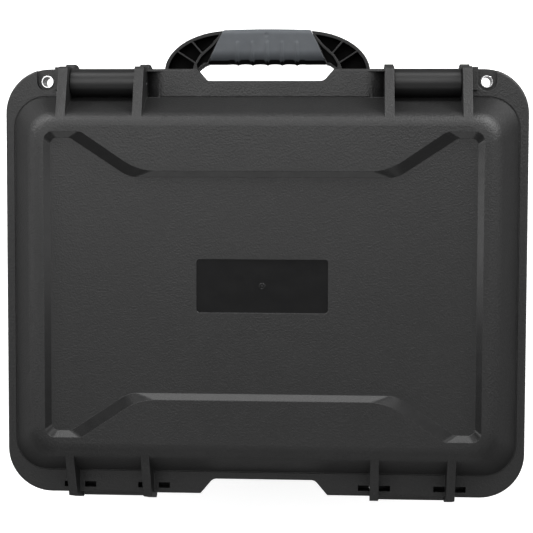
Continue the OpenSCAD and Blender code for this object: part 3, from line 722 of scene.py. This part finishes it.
def seal_piece():
    """A rubber seal with a crowned top, lying in the groove of the base."""
    width, low, high = 0.0018, 0.13905, 0.14085
    hx, y0, y1, r, _ = plan_ring(-0.0015, low)
    path = rounded_outline([(hx, y1, r), (-hx, y1, r), (-hx, y0, r), (hx, y0, r)], 0.004)
    profile = [(-width, low), (-width, high - 0.0011), (-width * 0.72, high - 0.0003), (0, high),
               (width * 0.72, high - 0.0003), (width, high - 0.0011), (width, low)]
    bm = bmesh.new()
    loops = []
    for out, z in profile:
        loop = []
        for i, p in enumerate(path):
            tangent = (path[(i + 1) % len(path)] - path[i - 1]).normalized()
            q = p + Vector((tangent.y, -tangent.x)) * out
            loop.append(bm.verts.new((q.x, q.y, z)))
        loops.append(loop)
    for a, b in zip(loops, loops[1:] + loops[:1]):
        bridge(bm, a, b)
    bmesh.ops.recalc_face_normals(bm, faces=bm.faces)
    return soften(new_piece("lid_seal", bm, SEAL, "base", ("gasket",)), 60)


grip_sleeve()
lid_foam_piece()
cut_foam_piece()
pad_piece()
seal_piece()

# ---------------------------------------------------------------- stage

# The distance was chosen. The rest comes from a least squares fit of the case's outlines at that
# distance: tilt, turn and roll in degrees, the lens in mm, and how far the camera stands aside and above.
CAMERA_DISTANCE = 1.3
CAMERA_ANGLES = (3.74, 3.47, 0.41)
CAMERA_LENS = 100.25
CAMERA_ASIDE, CAMERA_ABOVE = 0.0019, 0.015


def photo_axes(tilt, turn, roll):
    """Camera right, down and backward directions, from three small angles in degrees."""
    a, b, c = (math.radians(v) for v in (tilt, turn, roll))
    across = Vector((math.cos(b), math.sin(a) * math.sin(b), -math.cos(a) * math.sin(b)))
    fall = Vector((0, math.cos(a), math.sin(a)))
    right = across * math.cos(c) - fall * math.sin(c)
    down = across * math.sin(c) + fall * math.cos(c)
    back = Vector((math.sin(b), -math.sin(a) * math.cos(b), math.cos(a) * math.cos(b)))
    return [Vector((-v.x, v.y, v.z)) for v in (right, down, back)]


def make_camera():
    """The camera at the photograph's viewing angle."""
    right, down, back = photo_axes(*CAMERA_ANGLES)
    aim = Vector((0, MID_Y, FLANGE_TOP))
    place = aim + back * CAMERA_DISTANCE + right * CAMERA_ASIDE - down * CAMERA_ABOVE
    data = bpy.data.cameras.new("camera")
    data.sensor_width = 36.0
    data.lens = CAMERA_LENS
    data.clip_start, data.clip_end = 0.05, 30.0
    camera = bpy.data.objects.new("camera", data)
    bpy.context.scene.collection.objects.link(camera)
    turn = Matrix((right, -down, back)).transposed()
    camera.matrix_world = Matrix.Translation(place) @ turn.to_4x4()
    bpy.context.scene.camera = camera


LIGHT_AIM = (0, 0, 0.12)
WORLD_STRENGTH = 0.25
FLOOR_HALF = 4.0
FLOOR_LEVEL = -0.0005

# Name, place, width, height and strength in watts. Places and sizes were chosen. The strengths
# and the world's come from a least squares fit of test renders to the photograph's brightness, and
# front_low, front_strip, front_mid, rear_low and rear_high were then changed.
STUDIO_LIGHTS = [
    ("front_low", (0, -1.3, 0.48), 1.8, 0.16, 4.0),
    ("front_strip", (0, -1.25, 0.68), 1.8, 0.25, 4.2),
    ("front_mid", (0, -1.1, 0.98), 1.8, 0.4, 1.3),
    ("front_high", (0, -0.8, 1.4), 1.6, 0.6, 2.6),
    ("front_left", (0.95, -0.95, 0.45), 0.8, 0.35, 10.8),
    ("front_right", (-0.95, -0.95, 0.45), 0.8, 0.35, 16.0),
    ("front_right_high", (-0.8, -0.8, 0.95), 0.6, 0.5, 0.8),
    ("left_low", (1.3, 0, 0.45), 0.3, 1.2, 2.3),
    ("right_low", (-1.3, 0, 0.45), 0.3, 1.2, 1.3),
    ("left_high", (1.0, 0, 1.4), 0.8, 1.0, 2.9),
    ("right_high", (-1.0, 0, 1.4), 0.8, 1.0, 2.6),
    ("rear_low", (0, 1.3, 0.45), 1.4, 0.3, 1.5),
    ("rear_high", (0, 0.9, 1.4), 1.4, 0.7, 2.5),
    ("handle_side", (0.1, -0.35, 0.95), 0.8, 0.4, 2.9),
]


def area_light(name, place, width, height, power):
    """A rectangular light that points at the case."""
    data = bpy.data.lights.new(name, "AREA")
    data.shape = "RECTANGLE"
    data.size, data.size_y = width, height
    data.energy = power
    light = bpy.data.objects.new(name, data)
    bpy.context.scene.collection.objects.link(light)
    light.location = place
    light.rotation_euler = (Vector(LIGHT_AIM) - Vector(place)).to_track_quat("-Z", "Y").to_euler()


def make_floor():
    """The floor is left out of reflections and bounced light, so that it doesn't light the case."""
    bm = bmesh.new()
    bmesh.ops.create_grid(bm, x_segments=8, y_segments=8, size=FLOOR_HALF)
    mesh = bpy.data.meshes.new("studio_floor")
    bm.to_mesh(mesh)
    bm.free()
    floor = bpy.data.objects.new("studio_floor", mesh)
    bpy.context.scene.collection.objects.link(floor)
    floor.location.z = FLOOR_LEVEL
    dress(floor, floor_material())
    floor.visible_glossy = False
    floor.visible_diffuse = False


def make_world():
    """Even white light from all round."""
    world = bpy.data.worlds.new("studio")
    world.use_nodes = True
    background = world.node_tree.nodes["Background"]
    background.inputs["Color"].default_value = (1, 1, 1, 1)
    background.inputs["Strength"].default_value = WORLD_STRENGTH
    bpy.context.scene.world = world


make_camera()
make_floor()
make_world()
for light in STUDIO_LIGHTS:
    area_light(*light)
bpy.context.scene.view_settings.view_transform = "Standard"
bpy.context.scene.view_settings.look = "None"
